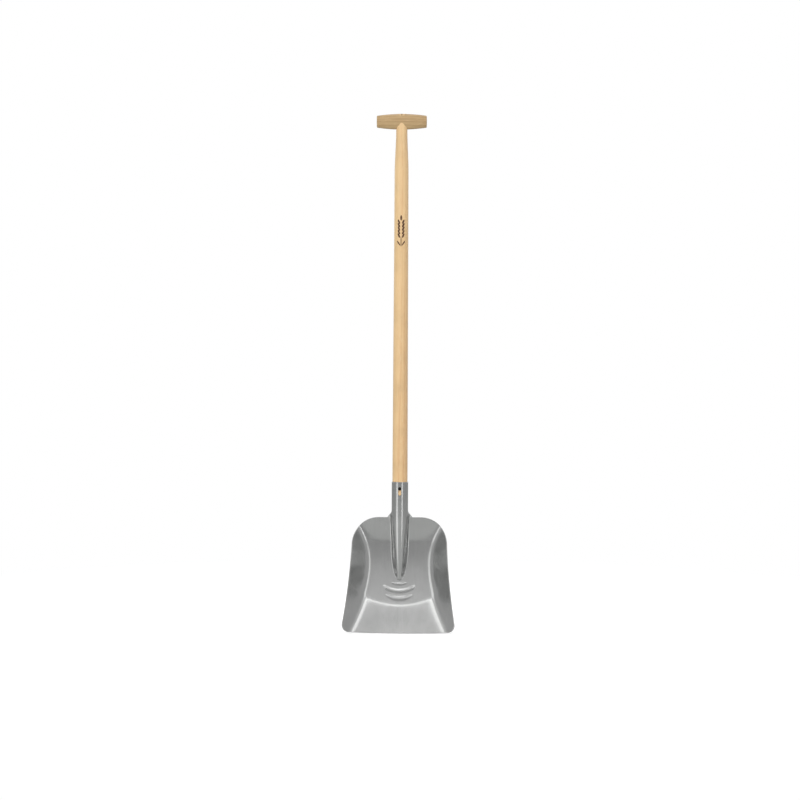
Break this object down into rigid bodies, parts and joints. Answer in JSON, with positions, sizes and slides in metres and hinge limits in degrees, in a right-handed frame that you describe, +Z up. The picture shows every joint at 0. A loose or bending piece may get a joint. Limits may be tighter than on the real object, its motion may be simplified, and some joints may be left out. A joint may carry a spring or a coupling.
{
  "type": "grain scoop shovel",
  "caption": "Wide dished scoop pressed from sheet steel, with a hollow frog and open-backed socket, on a long turned wooden shaft with a barrel-shaped wooden T-grip.",
  "frame": {"origin": "middle of the bounding box in X and Y, at the height of the lip; the lip's middle stands on Z = 0", "axes": "+Z runs up the shaft from the lip to the T-grip; the open, hollow side of the scoop faces -Y; X is across the scoop and along the grip"},
  "size_m": [0.2778, 0.1226, 1.3],
  "materials": {
    "blade_steel": "cold-rolled sheet steel, clear lacquered, satin, with soft stretched reflections",
    "shaft_wood": "pale straight-grained hardwood, sanded, clear lacquered",
    "grip_wood": "slightly darker turned hardwood, sanded, clear lacquered",
    "wedge_wood": "split hardwood, cut flush, unfinished",
    "nail_steel": "bright wire nail, dulled",
    "screw_steel": "black oxide screw"
  },
  "bodies": {
    "root": {"scoop_head": "blade_steel", "handle_shaft": "shaft_wood", "t_grip": "grip_wood", "tenon_wedge": "wedge_wood", "grip_nail": "nail_steel", "socket_screw": "screw_steel", "flap_nails": "nail_steel"}
  },
  "joints": []
}
